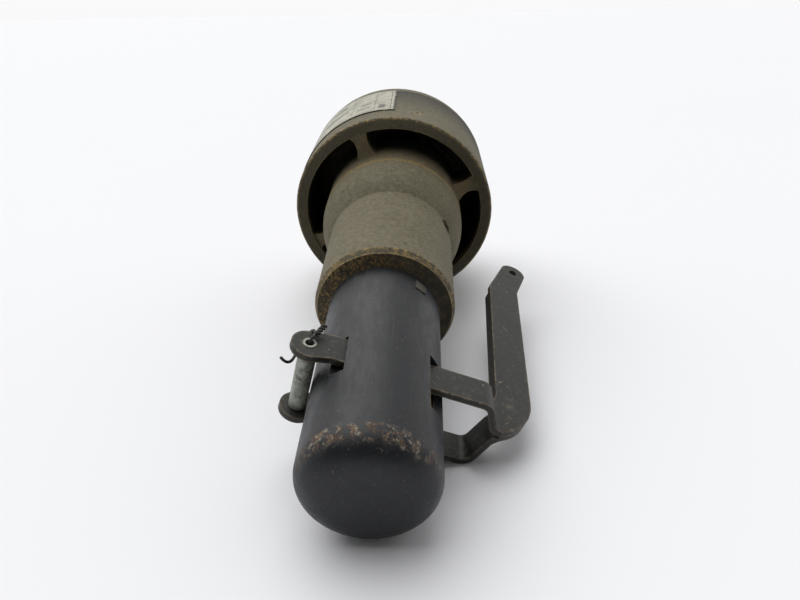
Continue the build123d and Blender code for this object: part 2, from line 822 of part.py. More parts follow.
# --- guide bush, rod and contacts --------------------------------------------
bush_near = 66.0
bush_shoulder = 80.0
bush_taper_end = 84.0
bush_tail_radius = 11.0
block_length = 7.0
block_hole_radius = 4.8
contact_count = 2
contact_ring = 13.0
contact_button_radius = 3.0
contact_button_height = 1.5
terminal_ring = 20.0
terminal_radius = 1.5
terminal_head_radius = 2.6
terminal_head_height = 2.2
terminal_depth = 5.0
terminal_slot_width = 0.7
contact_reserve = 0.1
disc_radius = 16.0
disc_thickness = 1.2
carrier_radius = 11.0
carrier_length = 4.0
nut_radius = 7.0
nut_length = 3.2
rod_stand = 1.5
with BuildPart() as guide_bush:
    turn(
        (plunger_rod_radius + running_gap, bush_near),
        (tube_bore_radius, bush_near),
        (tube_bore_radius, bush_shoulder),
        (bush_tail_radius, bush_taper_end),
        (bush_tail_radius, tube_length),
        (plunger_rod_radius + running_gap, tube_length),
    )
    with BuildSketch(around(key_angle, key_bottom, key_station)):
        Rectangle(key_size, key_size)
    extrude(amount=key_depth, mode=Mode.SUBTRACT)
save(guide_bush.part, "guide_bush")

block_end = hub_chamber_station + block_length
with BuildPart() as contact_block:
    turn_ring(block_hole_radius, hub_chamber_radius, hub_chamber_station, block_end)
    with BuildSketch(station(block_end)):
        with PolarLocations(terminal_ring, contact_count):
            Circle(terminal_radius)
    extrude(amount=-terminal_depth, mode=Mode.SUBTRACT)
save(contact_block.part, "contact_block")

with BuildPart() as fixed_contacts:
    with BuildSketch(station(block_end)):
        with PolarLocations(contact_ring, contact_count):
            Circle(contact_button_radius)
    extrude(amount=contact_button_height)
save(fixed_contacts.part, "fixed_contacts")

with BuildPart() as terminal_screws:
    with BuildSketch(station(block_end)):
        with PolarLocations(terminal_ring, contact_count):
            Circle(terminal_radius)
    extrude(amount=-terminal_depth)
    with BuildSketch(station(block_end)):
        with PolarLocations(terminal_ring, contact_count):
            Circle(terminal_head_radius)
    extrude(amount=terminal_head_height)
    with BuildSketch(station(block_end + terminal_head_height)):
        with PolarLocations(terminal_ring, contact_count):
            Rectangle(terminal_head_radius * 3, terminal_slot_width)
    extrude(amount=-driver_slot_depth, mode=Mode.SUBTRACT)
save(terminal_screws.part, "terminal_screws")

disc_station = block_end + contact_button_height + plunger_travel + contact_reserve
carrier_station = disc_station + disc_thickness
nut_station = carrier_station + carrier_length
rod_end = nut_station + nut_length + rod_stand
with BuildPart() as moving_contact:
    turn_ring(plunger_rod_radius, disc_radius, disc_station, carrier_station)
save(moving_contact.part, "moving_contact")

with BuildPart() as contact_carrier:
    turn_ring(plunger_rod_radius, carrier_radius, carrier_station, nut_station)
save(contact_carrier.part, "contact_carrier")

with BuildPart() as rod_nut:
    with BuildSketch(station(nut_station)):
        RegularPolygon(nut_radius, 6)
        Circle(plunger_rod_radius, mode=Mode.SUBTRACT)
    extrude(amount=nut_length)
save(rod_nut.part, "rod_nut")

with BuildPart() as plunger_rod:
    turn_ring(0, plunger_rod_radius, rod_start, rod_end)
save(plunger_rod.part, "plunger_rod")

# --- hub cover ---------------------------------------------------------------
hub_screw_head = 2.2
hub_screw_head_height = 1.5
hub_lead_radius = 4.0
with BuildPart() as hub_cover:
    turn_ring(hub_lead_radius, hub_radius, hub_front_station, hub_cover_top)
    hub_screw_holes()
save(hub_cover.part, "hub_cover")

with BuildPart() as hub_cover_screws:
    with BuildSketch(station(hub_cover_top)):
        with PolarLocations(hub_screw_ring, hub_screw_count):
            Circle(hub_screw_head)
    extrude(amount=hub_screw_head_height)
    with BuildSketch(station(hub_cover_top)):
        with PolarLocations(hub_screw_ring, hub_screw_count):
            Circle(hub_screw_radius)
    extrude(amount=-hub_screw_length)
save(hub_cover_screws.part, "hub_cover_screws")

print("slope", slope, "roll", roll, "closed end", closed_end)
print("along", along, "across", across, "sideways", sideways)
print("pivot", pin_middle, "pin direction", pin_direction)
print("eye", closed_end + eye_middle + across * (strap_thickness / 2))
print("inlet", closed_end + along * far_end_length)
print("travel per radian", plunger_travel / radians(lever_swing))
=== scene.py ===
import json
import math

import bmesh
import bpy
from mathutils import Matrix, Vector


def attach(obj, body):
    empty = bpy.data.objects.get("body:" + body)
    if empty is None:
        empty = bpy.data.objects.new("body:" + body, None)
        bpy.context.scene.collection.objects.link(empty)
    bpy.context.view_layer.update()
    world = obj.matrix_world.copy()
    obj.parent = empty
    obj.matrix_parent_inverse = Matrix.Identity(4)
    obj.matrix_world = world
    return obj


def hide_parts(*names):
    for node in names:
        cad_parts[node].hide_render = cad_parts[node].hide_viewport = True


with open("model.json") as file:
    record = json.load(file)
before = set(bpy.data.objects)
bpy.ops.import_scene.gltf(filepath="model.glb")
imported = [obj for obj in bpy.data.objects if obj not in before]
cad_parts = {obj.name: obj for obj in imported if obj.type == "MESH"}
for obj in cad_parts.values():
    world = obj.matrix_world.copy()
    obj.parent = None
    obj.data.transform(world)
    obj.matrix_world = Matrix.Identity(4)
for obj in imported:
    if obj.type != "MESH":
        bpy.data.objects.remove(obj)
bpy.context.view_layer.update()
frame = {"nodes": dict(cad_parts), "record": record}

MM = 0.001

# ---------------------------------------------------------------------------
# The tube's own axes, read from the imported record
# ---------------------------------------------------------------------------
record = frame["record"]
mounts = {mount["name"]: mount for mount in record["mounts"]}
joints = {joint["name"]: joint for joint in record["behaviour"]["joints"]}
ALONG = Vector(mounts["cable_inlet"]["axis"]).normalized()
ACROSS = Vector(mounts["lanyard_eye"]["axis"]).normalized()
SIDEWAYS = ALONG.cross(ACROSS).normalized()
PIN = -Vector(joints["lever_swing"]["axis"]).normalized()
PIN_MIDDLE = Vector(joints["lever_swing"]["pos_m"])
INLET_STATION = 219.8
ORIGIN = Vector(mounts["cable_inlet"]["pos_m"]) - ALONG * INLET_STATION * MM


def place(side, station, height):
    """A point from millimetres sideways, along the tube and across the straps."""
    return ORIGIN + (SIDEWAYS * side + ALONG * station + ACROSS * height) * MM


def radial(angle, radius, station):
    """A point about the tube's axis; the angle runs from sideways towards across."""
    turn = math.radians(angle)
    return place(radius * math.cos(turn), station, radius * math.sin(turn))


def from_closed_end(point):
    """A point's millimetres from the middle of the closed end, as node input."""
    return tuple((point - ORIGIN) / MM)


# Places on the part, in millimetres about the tube's axis.
PLATE_MIDDLE = 162.5
PLATE_HALF_ANGLE = 52.5
PLATE_NEAR, PLATE_FAR = 165.2, 195.4
CUP_RADIUS = 43.4
PIT = from_closed_end(radial(97, 43.2, 165.2))
RIVET = from_closed_end(place(42.4, 41.5, 4.4))
PLATE_SPOT = (-34.0, 170.5)
WINDING_PITCH = 0.5
LATHE_PITCH = 0.6

# The nameplate's ruled lines and filled bars, in millimetres: arc from its
# middle, and station along the tube.
RULE_WIDTH = 0.28
RULE_STATIONS = (170.4, 175.6, 180.8, 186.0, 191.0)
RULE_ARCS = (-31.0, -20.5, -3.0, 14.5, 25.0)
BARS = (
    (-35.5, -32.5, 171.6, 174.2), (-29.5, -22.5, 172.2, 173.8), (-29.0, -24.0, 177.4, 179.2),
    (-18.0, -5.0, 177.2, 179.3), (-16.0, -8.0, 187.2, 189.4), (-1.0, 11.0, 172.1, 174.0),
    (1.0, 9.0, 182.2, 184.5), (17.0, 22.5, 177.5, 179.0), (27.5, 34.0, 187.2, 189.3),
    (28.0, 33.0, 172.2, 173.8),
)

# Colours, as linear red, green and blue. A pair runs from dark to light.
OLIVE = (0.118, 0.101, 0.056), (0.150, 0.131, 0.078)
OLIVE_FADED = (0.220, 0.196, 0.122)
OLIVE_GRIT = (0.040, 0.034, 0.020)
OLIVE_DUST = (0.270, 0.246, 0.160)
# Grime with painted shade, for the cup's front face and the mouth's bevel.
FACE_GRIME_AND_SHADE = (0.035, 0.029, 0.018)
BEVEL_GRIME_AND_SHADE = (0.035, 0.028, 0.014)
# Painted shade deep inside the cup.
CUP_DEEP_SHADE = (0.008, 0.007, 0.005)
ROOT_STAIN = (0.155, 0.095, 0.035)
PIT_RING = (0.33, 0.24, 0.11)
PIT_FLOOR = (0.02, 0.016, 0.01)
CAST_BRASS = (0.26, 0.165, 0.052), (0.40, 0.285, 0.115)
ENAMEL = (0.006, 0.0068, 0.0085), (0.0125, 0.0138, 0.016)
ENAMEL_SCUFF = (0.045, 0.045, 0.044)
ENAMEL_STREAK = (0.060, 0.060, 0.058)
ENAMEL_SPECK = (0.17, 0.13, 0.085)
TUBE_RUST = (0.135, 0.078, 0.042), (0.30, 0.265, 0.205)
TUBE_STEEL = (0.44, 0.43, 0.39)
WINDOW_EDGE = (0.20, 0.16, 0.105)
STRIP = (0.017, 0.0175, 0.016), (0.040, 0.041, 0.036)
STRIP_SCUFF = (0.105, 0.100, 0.082)
STRIP_RUST = (0.150, 0.100, 0.058), (0.28, 0.235, 0.165)
PATINA = (0.022, 0.018, 0.009), (0.048, 0.038, 0.019)
# Rubbed brass, also laid on the ring's lit left side as painted light.
RING_GOLD_AND_LIGHT = (0.235, 0.145, 0.042)
RING_EDGE = (0.33, 0.23, 0.09)
VERDIGRIS = (0.10, 0.12, 0.07)
PLATE = (0.27, 0.26, 0.195), (0.47, 0.455, 0.36)
PLATE_FLECK = (0.12, 0.105, 0.07)
PLATE_INK = (0.035, 0.033, 0.028)
PLATE_STAIN = (0.03, 0.026, 0.02)
# Shaded and lit copper, for painted shade between the winding's turns.
COPPER_SHADED_AND_LIT = (0.07, 0.02, 0.008), (0.42, 0.14, 0.045)
FLOOR_WHITE = (0.845, 0.85, 0.87), (0.855, 0.86, 0.88)

# How the noise is moved for each step of shift, and how far apart the smoothed
# and true normals are (as a dot product) off an edge and on one.
SHIFT_WAY = (1.0, 0.7, -1.3)
EDGE_SAMPLES = 4
OFF_EDGE, ON_EDGE = 0.995, 0.86


# ---------------------------------------------------------------------------
# Node materials
# ---------------------------------------------------------------------------
class Paint:
    """A short way to write a node tree. Lengths in it are millimetres."""

    def __init__(self, name):
        self.material = bpy.data.materials.new(name)
        self.material.use_nodes = True
        self.tree = self.material.node_tree
        self.tree.nodes.clear()
        self.shader = self.tree.nodes.new("ShaderNodeBsdfPrincipled")
        output = self.tree.nodes.new("ShaderNodeOutputMaterial")
        self.tree.links.new(self.shader.outputs["BSDF"], output.inputs["Surface"])
        coordinates = self.tree.nodes.new("ShaderNodeTexCoord")
        self.point = self.vector("SCALE", coordinates.outputs["Object"], scale=1 / MM)
        self.from_end = self.vector("SUBTRACT", self.point, tuple(ORIGIN / MM))
        self.bumps = None

    def feed(self, socket, value):
        if isinstance(value, bpy.types.NodeSocket):
            self.tree.links.new(value, socket)
        elif value is not None:
            if isinstance(value, tuple) and len(value) == 3 and socket.type == "RGBA":
                value = (*value, 1.0)
            socket.default_value = value

    def vector(self, operation, a, b=None, scale=None):
        node = self.tree.nodes.new("ShaderNodeVectorMath")
        node.operation = operation
        self.feed(node.inputs[0], a)
        self.feed(node.inputs[1], b)
        if scale is not None:
            node.inputs["Scale"].default_value = scale
        return node.outputs["Value" if operation in ("DOT_PRODUCT", "LENGTH") else "Vector"]

    def math(self, operation, a, b=None, c=None, clamp=False):
        node = self.tree.nodes.new("ShaderNodeMath")
        node.operation = operation
        node.use_clamp = clamp
        for socket, value in zip(node.inputs, (a, b, c)):
            self.feed(socket, value)
        return node.outputs[0]

    def add(self, *values):
        total = values[0]
        for value in values[1:]:
            total = self.math("ADD", total, value)
        return total

    def times(self, *values):
        total = values[0]
        for value in values[1:]:
            total = self.math("MULTIPLY", total, value)
        return total

    def most(self, *values):
        total = values[0]
        for value in values[1:]:
            total = self.math("MAXIMUM", total, value)
        return total

    def flip(self, value):
        return self.math("SUBTRACT", 1.0, value)

    def step(self, value, low, high):
        """0 below low, 1 above high and smooth between; low may be above high."""
        node = self.tree.nodes.new("ShaderNodeMapRange")
        node.interpolation_type = "SMOOTHSTEP"
        backwards = low > high
        if backwards:
            low, high = high, low
        self.feed(node.inputs["Value"], value)
        node.inputs["From Min"].default_value = low
        node.inputs["From Max"].default_value = high
        node.inputs["To Min"].default_value = 1.0 if backwards else 0.0
        node.inputs["To Max"].default_value = 0.0 if backwards else 1.0
        return node.outputs["Result"]

    def band(self, value, low, high, soft):
        """1 from low to high and 0 outside, with each side soft over twice soft."""
        return self.times(self.step(value, low - soft, low + soft),
                          self.step(value, high + soft, high - soft))

    def side(self):
        return self.vector("DOT_PRODUCT", self.from_end, tuple(SIDEWAYS))

    def station(self):
        return self.vector("DOT_PRODUCT", self.from_end, tuple(ALONG))

    def height(self):
        return self.vector("DOT_PRODUCT", self.from_end, tuple(ACROSS))

    def distance(self, spot):
        """How far the point is from a spot given from the closed end."""
        return self.vector("LENGTH", self.vector("SUBTRACT", self.from_end, spot))

    def radius(self):
        side, height = self.side(), self.height()
        return self.math("SQRT", self.add(self.times(side, side), self.times(height, height)))

    def angle_from(self, degrees):
        """Angle about the axis in degrees, 0 at the given one, from -180 to 180."""
        turn = math.radians(degrees)
        zero = SIDEWAYS * math.cos(turn) + ACROSS * math.sin(turn)
        quarter = ACROSS * math.cos(turn) - SIDEWAYS * math.sin(turn)
        angle = self.math("ARCTAN2", self.vector("DOT_PRODUCT", self.from_end, tuple(quarter)),
                          self.vector("DOT_PRODUCT", self.from_end, tuple(zero)))
        return self.times(angle, math.degrees(1))

    def stretch(self, x, y, z):
        """The point with its sideways, along and across parts scaled."""
        node = self.tree.nodes.new("ShaderNodeCombineXYZ")
        parts = (self.side(), self.station(), self.height())
        for socket, value, scale in zip(node.inputs, parts, (x, y, z)):
            self.feed(socket, self.times(value, scale))
        return node.outputs[0]

    def noise(self, size, detail=4.0, rough=0.55, twist=0.0, at=None, shift=0.0):
        """Noise with features about size millimetres wide."""
        node = self.tree.nodes.new("ShaderNodeTexNoise")
        vector = self.point if at is None else at
        if shift:
            vector = self.vector("ADD", vector, tuple(shift * way for way in SHIFT_WAY))
        self.feed(node.inputs["Vector"], vector)
        node.inputs["Scale"].default_value = 1.0 / size
        node.inputs["Detail"].default_value = detail
        node.inputs["Roughness"].default_value = rough
        node.inputs["Distortion"].default_value = twist
        return node.outputs[0]

    def cells(self, size, at=None):
        """Distance to the nearest of scattered points, 0 at a point."""
        node = self.tree.nodes.new("ShaderNodeTexVoronoi")
        self.feed(node.inputs["Vector"], self.point if at is None else at)
        node.inputs["Scale"].default_value = 1.0 / size
        return node.outputs["Distance"]

    def mix(self, share, a, b):
        node = self.tree.nodes.new("ShaderNodeMix")
        node.data_type = "RGBA"
        self.feed(node.inputs["Factor"], share)
        self.feed(node.inputs["A"], a)
        self.feed(node.inputs["B"], b)
        return next(output for output in node.outputs if output.type == "RGBA")

    def blend(self, share, a, b):
        """Mix of two numbers."""
        return self.add(self.times(self.flip(share), a), self.times(share, b))

    def edges(self, radius):
        """1 along sharp edges, within about radius millimetres of them."""
        node = self.tree.nodes.new("ShaderNodeBevel")
        node.samples = EDGE_SAMPLES
        node.inputs["Radius"].default_value = radius * MM
        same = self.vector("DOT_PRODUCT", node.outputs[0], self.normal())
        return self.step(same, OFF_EDGE, ON_EDGE)

    def normal(self):
        return self.tree.nodes.new("ShaderNodeNewGeometry").outputs["Normal"]

    def up(self):
        """How far the surface faces upwards, from -1 to 1."""
        return self.vector("DOT_PRODUCT", self.normal(), (0.0, 0.0, 1.0))

    def bump(self, height, depth):
        """Raise the surface by height times depth millimetres."""
        node = self.tree.nodes.new("ShaderNodeBump")
        node.inputs["Strength"].default_value = 1.0
        node.inputs["Distance"].default_value = depth * MM
        self.feed(node.inputs["Height"], height)
        if self.bumps is not None:
            self.tree.links.new(self.bumps, node.inputs["Normal"])
        self.bumps = node.outputs["Normal"]

    def finish(self, colour, rough, metal=0.0, specular=0.5):
        self.feed(self.shader.inputs["Base Color"], colour)
        self.feed(self.shader.inputs["Roughness"], rough)
        self.feed(self.shader.inputs["Metallic"], metal)
        self.shader.inputs["Specular IOR Level"].default_value = specular
        if self.bumps is not None:
            self.tree.links.new(self.bumps, self.shader.inputs["Normal"])
        return self.material


def olive_cast(name, casting):
    """Olive drab paint over sand-cast brass, rubbed through on its edges."""
    p = Paint(name)
    blotch = p.noise(24, 3, 0.5)
    fine = p.noise(1.1, 4, 0.65)
    grit = p.noise(0.55, 3, 0.6, shift=9)
    colour = p.mix(p.step(blotch, 0.35, 0.68), *OLIVE)
    colour = p.mix(p.times(p.step(fine, 0.48, 0.7), 0.55), colour, OLIVE_FADED)
    colour = p.mix(p.times(p.step(grit, 0.50, 0.34), 0.7), colour, OLIVE_GRIT)
    top = p.step(p.up(), 0.1, 0.95)
    dust = p.times(top, p.step(p.noise(1.8, 6, 0.75, shift=4), 0.40, 0.66), 0.34)
    colour = p.mix(dust, colour, OLIVE_DUST)
    worn = p.times(p.edges(0.7), p.step(p.noise(2.4, 4, 0.7, shift=3), 0.40, 0.62), 0.8)
    specks = p.times(p.step(p.noise(0.9, 3, 0.6, shift=17), 0.69, 0.76), 0.6)
    if casting:
        station, radius = p.station(), p.radius()
        # Brass shows on the ridge behind the hub and on the slope before it, at the
        # mouth and lip of the neck, and on the cup's rim.
        wander = p.times(p.noise(6, 3, 0.5, shift=23), 2.0)
        ridge_line = p.band(p.add(station, wander), 144.6, 147.0, 1.2)
        ridge = p.times(ridge_line, p.step(radius, 28.4, 29.0), p.step(radius, 30.8, 30.0),
                        p.step(p.noise(1.3, 5, 0.7, shift=37), 0.36, 0.58))
        slope = p.times(p.band(station, 128, 143, 4), p.band(radius, 25, 29.4, 0.8),
                        p.step(p.noise(2.2, 5, 0.75, shift=27), 0.60, 0.70), 0.55)
        mouth = p.times(p.step(station, 82.2, 80.8), 0.55)
        lip = p.times(p.band(station, 81.2, 82.2, 0.4), p.step(radius, 23.6, 24.2), 0.9)
        rim = p.times(p.step(station, 156.6, 155.2), p.step(radius, 42.3, 43.1), 0.8)
        rubbed = p.times(p.most(mouth, lip, rim),
                         p.step(p.noise(1.7, 5, 0.7, shift=6), 0.45, 0.60))
        # Painted shade mixed with grime darkens the cup's front face and the mouth's bevel,
        # and painted shade darkens the cup deep inside, with a brown stain round the hub's root.
        face = p.times(p.step(station, 156.4, 155.0), p.step(radius, 36, 38))
        colour = p.mix(p.times(face, 0.55), colour, FACE_GRIME_AND_SHADE)
        bevel = p.times(p.step(station, 82.4, 81.6), p.step(radius, 22, 23))
        colour = p.mix(p.times(bevel, 0.6), colour, BEVEL_GRIME_AND_SHADE)
        worn = p.most(worn, ridge, rubbed, slope)
        # Painted shade: the cup is darkened almost to black deep inside, and no wear shows there.
        deep_shade = p.times(p.step(station, 155.6, 161), p.step(radius, 43.2, 42.0),
                       p.step(radius, 24, 28))
        colour = p.mix(p.times(deep_shade, 0.95), colour, CUP_DEEP_SHADE)
        root = p.times(p.band(station, 146, 157, 2), p.band(radius, 29.8, 37, 1.5),
                       p.step(p.noise(3, 4, 0.6, shift=29), 0.35, 0.6))
        colour = p.mix(p.times(root, 0.6), colour, ROOT_STAIN)
        worn = p.times(worn, p.flip(deep_shade))
        # A small pit with a bare ring round it, at the nameplate's edge.
        spot = p.distance(PIT)
        colour = p.mix(p.band(spot, 0.9, 1.7, 0.25), colour, PIT_RING)
        colour = p.mix(p.step(spot, 1.1, 0.7), colour, PIT_FLOOR)
        p.bump(p.step(spot, 0.7, 1.3), 0.5)
    brass = p.mix(fine, *CAST_BRASS)
    worn = p.most(worn, specks)
    colour = p.mix(worn, colour, brass)
    p.bump(p.noise(0.7, 4, 0.72), 0.34)
    p.bump(p.noise(3.2, 3, 0.5, shift=2), 0.35)
    pits = p.step(p.cells(9, p.point), 0.085, 0.03)
    p.bump(pits, -0.5)
    rough = p.blend(worn, p.blend(fine, 0.60, 0.8), 0.42)
    return p.finish(colour, rough, p.times(worn, 0.55), 0.35)


def black_enamel(name):
    """Satin black enamel on steel, worn at the closed end and chipped here and there."""
    p = Paint(name)
    station, radius = p.station(), p.radius()
    cloud = p.noise(16, 4, 0.6)
    scuff = p.noise(3.0, 6, 0.75, at=p.stretch(1.0, 0.35, 1.0))
    streak = p.noise(0.9, 4, 0.7, at=p.stretch(1.0, 0.06, 1.0), shift=7)
    fine = p.noise(0.5, 3, 0.6)
    colour = p.mix(cloud, *ENAMEL)
    colour = p.mix(p.times(p.step(scuff, 0.50, 0.75), 0.40), colour, ENAMEL_SCUFF)
    colour = p.mix(p.times(p.step(streak, 0.56, 0.72), 0.35), colour, ENAMEL_STREAK)
    # A thin band rubbed through where the end's round meets the tube's top.
    top = p.step(p.up(), 0.15, 0.85)
    wander = p.add(station, p.times(p.noise(9, 3, 0.5, shift=33), 4.0))
    edge_line = p.band(wander, 6.0, 10.2, 1.1)
    outer = p.step(radius, 14.5, 17.5)
    patch = p.step(p.noise(2.3, 6, 0.80, shift=5), 0.46, 0.60)
    band = p.times(edge_line, outer, patch, p.blend(top, 0.10, 0.95))
    halo = p.times(p.band(station, 1.5, 14, 3.0), outer,
                   p.step(p.noise(0.9, 5, 0.75, shift=8), 0.62, 0.69), p.blend(top, 0.45, 0.85))
    worn = p.most(band, halo)
    rust = p.mix(p.step(p.noise(1.9, 4, 0.7, shift=12), 0.44, 0.62), *TUBE_RUST)
    rust = p.mix(p.step(p.noise(1.3, 4, 0.7, shift=14), 0.55, 0.68), rust, TUBE_STEEL)
    colour = p.mix(worn, colour, rust)
    specks = p.times(p.step(p.noise(0.8, 2, 0.5, shift=21), 0.70, 0.76), 0.55)
    colour = p.mix(specks, colour, ENAMEL_SPECK)
    # Brown steel on the tube's edges, away from the closed end.
    edge = p.times(p.edges(0.35), p.step(p.noise(1.5, 3, 0.6, shift=31), 0.42, 0.6),
                   p.step(station, 12, 16))
    edge = p.times(edge, 0.7)
    colour = p.mix(edge, colour, WINDOW_EDGE)
    all_worn = p.most(worn, edge)
    p.bump(p.noise(0.7, 3, 0.6), 0.02)
    p.bump(p.noise(7, 3, 0.5, shift=2), 0.12)
    p.bump(streak, 0.012)
    p.bump(worn, -0.06)
    rough = p.blend(all_worn, p.blend(p.step(scuff, 0.4, 0.7), 0.38, 0.55), 0.75)
    return p.finish(colour, p.add(rough, p.times(fine, 0.05)), p.times(all_worn, 0.25), 0.35)


def black_strip(name):
    """Blackened strip steel with rubbed, slightly rusty edges."""
    p = Paint(name)
    cloud = p.noise(9, 5, 0.65)
    scuff = p.noise(2.2, 5, 0.7, shift=3)
    colour = p.mix(cloud, *STRIP)
    colour = p.mix(p.times(p.step(scuff, 0.50, 0.72), 0.5), colour, STRIP_SCUFF)
    root = p.step(p.station(), 62, 46)
    rivet = p.distance(RIVET)
    edge = p.times(p.edges(1.0), p.step(p.noise(2.0, 5, 0.72, shift=6), 0.38, 0.54),
                   p.step(rivet, 2.6, 3.4))
    chip = p.step(p.noise(1.5, 4, 0.66, shift=11), 0.64, 0.69)
    rub = p.times(root, p.step(p.noise(3.2, 6, 0.75, shift=19), 0.54, 0.68), 0.32,
                  p.step(p.side(), 5, 20))
    worn = p.most(p.times(edge, 0.95), p.times(chip, 0.85), rub)
    brown = p.mix(p.step(p.noise(2.8, 3, 0.6, shift=15), 0.42, 0.6), *STRIP_RUST)
    colour = p.mix(worn, colour, brown)
    p.bump(p.noise(0.6, 4, 0.7), 0.05)
    p.bump(p.noise(4, 3, 0.5, shift=2), 0.12)
    p.bump(worn, -0.05)
    rough = p.blend(worn, p.blend(scuff, 0.40, 0.66), 0.7)
    return p.finish(colour, rough, p.blend(worn, 0.35, 0.2), 0.5)


def aged_metal(name, dark, light, spot, rough, metal=0.85, size=2.5, spots=0.35, turned=None):
    """Dull metal with blotches and spots; turned is the pitch of any lathe marks."""
    p = Paint(name)
    blotch = p.noise(size * 2, 5, 0.65)
    fine = p.noise(size * 0.35, 4, 0.7, shift=5)
    colour = p.mix(p.step(blotch, 0.32, 0.68), dark, light)
    colour = p.mix(p.times(p.step(fine, 0.55, 0.7), 0.45), colour, light)
    spotted = p.step(p.noise(size * 0.8, 5, 0.7, shift=9), 0.66 - spots * 0.2, 0.72 - spots * 0.12)
    spotted = p.times(spotted, 0.85)
    colour = p.mix(spotted, colour, spot)
    edge = p.times(p.edges(0.3), 0.5)
    colour = p.mix(edge, colour, light)
    if turned:
        p.bump(p.math("SINE", p.times(p.station(), math.tau / turned)), 0.02)
    p.bump(p.noise(0.4, 3, 0.7), 0.04)
    p.bump(spotted, -0.04)
    rough = p.blend(spotted, p.blend(fine, rough - 0.08, rough + 0.1), 0.8)
    return p.finish(colour, rough, p.times(p.flip(spotted), metal), 0.5)


def ring_brass(name):
    """Brass under a dark brown patina, golden in blotches, mostly on the ring's left side, painted
    lighter as the lit side.
    """
    p = Paint(name)
    blotch = p.noise(3.5, 6, 0.7)
    fine = p.noise(0.9, 5, 0.7, shift=4)
    colour = p.mix(p.step(blotch, 0.4, 0.62), *PATINA)
    # Painted light: the left side, where the light falls, gets most of the gold and a glossier finish.
    from_left = p.angle_from(180)
    lit_side = p.times(p.step(from_left, 75, 40), p.step(from_left, -110, -60))
    gold_and_light = p.times(p.blend(lit_side, 0.08, 0.9), p.step(fine, 0.46, 0.64))
    colour = p.mix(p.times(gold_and_light, 0.8), colour, RING_GOLD_AND_LIGHT)
    verdigris = p.times(p.step(p.noise(1.8, 4, 0.7, shift=13), 0.64, 0.72), 0.5)
    colour = p.mix(verdigris, colour, VERDIGRIS)
    edge = p.times(p.edges(0.3), 0.4)
    colour = p.mix(edge, colour, RING_EDGE)
    p.bump(fine, 0.10)
    p.bump(p.noise(2.4, 3, 0.5, shift=2), 0.12)
    return p.finish(colour, p.blend(gold_and_light, 0.72, 0.45), p.blend(gold_and_light, 0.15, 0.7), 0.4)


def plate_face(name):
    """A blank form plate: dark border, ruled cells and plain filled bars."""
    p = Paint(name)
    u = p.times(p.angle_from(PLATE_MIDDLE), math.radians(1) * CUP_RADIUS)
    v = p.station()
    half = math.radians(PLATE_HALF_ANGLE) * CUP_RADIUS
    from_end = p.math("SUBTRACT", half, p.math("ABSOLUTE", u))
    from_side = p.math("MINIMUM", p.math("SUBTRACT", v, PLATE_NEAR),
                       p.math("SUBTRACT", PLATE_FAR, v))
    inset = p.math("MINIMUM", from_end, from_side)
    border = p.most(p.step(inset, 0.75, 0.55), p.band(inset, 1.7, 2.0, 0.12))
    inside = p.step(inset, 1.9, 2.1)
    rules = p.most(*(p.band(v, station, station + RULE_WIDTH, 0.1) for station in RULE_STATIONS),
                   *(p.band(u, arc, arc + RULE_WIDTH, 0.1) for arc in RULE_ARCS))
    bars = p.most(*(p.times(p.band(u, u0, u1, 0.15), p.band(v, v0, v1, 0.15))
                    for u0, u1, v0, v1 in BARS))
    marks = p.most(border, p.times(inside, p.most(p.times(rules, 0.85), p.times(bars, 0.8))))
    rubbed = p.step(p.noise(3.5, 5, 0.7), 0.62, 0.52)
    marks = p.times(marks, p.blend(rubbed, 0.35, 1.0))
    stain = p.noise(7, 5, 0.65, shift=4)
    face = p.mix(p.step(stain, 0.35, 0.7), *PLATE)
    fleck = p.times(p.step(p.noise(0.8, 4, 0.7, shift=8), 0.58, 0.7), 0.5)
    face = p.mix(fleck, face, PLATE_FLECK)
    colour = p.mix(p.times(marks, 0.9), face, PLATE_INK)
    spot_u, spot_v = p.add(u, -PLATE_SPOT[0]), p.add(v, -PLATE_SPOT[1])
    spot = p.math("SQRT", p.add(p.times(spot_u, spot_u), p.times(spot_v, spot_v)))
    spot = p.step(p.add(spot, p.times(p.noise(1.6, 4, 0.7, shift=16), 2.5)), 3.6, 2.6)
    colour = p.mix(p.times(spot, 0.85), colour, PLATE_STAIN)
    p.bump(marks, -0.05)
    p.bump(p.noise(1.5, 3, 0.6), 0.03)
    return p.finish(colour, p.blend(marks, 0.42, 0.6), 0.25, 0.5)


def moulded(name, dark, light, rough=0.5, specular=0.4):
    """Moulded insulation or rubber, slightly mottled."""
    p = Paint(name)
    colour = p.mix(p.noise(3, 5, 0.7, twist=1.5), dark, light)
    p.bump(p.noise(0.5, 3, 0.6), 0.03)
    fine = p.noise(1.2, 3, 0.6, shift=3)
    return p.finish(colour, p.blend(fine, rough - 0.05, rough + 0.1), 0.0, specular)


def wound_copper(name):
    """Enamelled copper wire wound round the tube's axis."""
    p = Paint(name)
    turns = p.math("SINE", p.times(p.station(), math.tau / WINDING_PITCH))
    layers = p.math("SINE", p.times(p.radius(), math.tau / WINDING_PITCH))
    winding_relief_and_shade = p.step(p.most(turns, layers), -0.6, 0.6)
    # Painted shade: the copper is dark between the turns and light on them.
    colour = p.mix(winding_relief_and_shade, *COPPER_SHADED_AND_LIT)
    p.bump(winding_relief_and_shade, 0.1)
    return p.finish(colour, p.blend(p.noise(2), 0.3, 0.5), 0.8, 0.5)


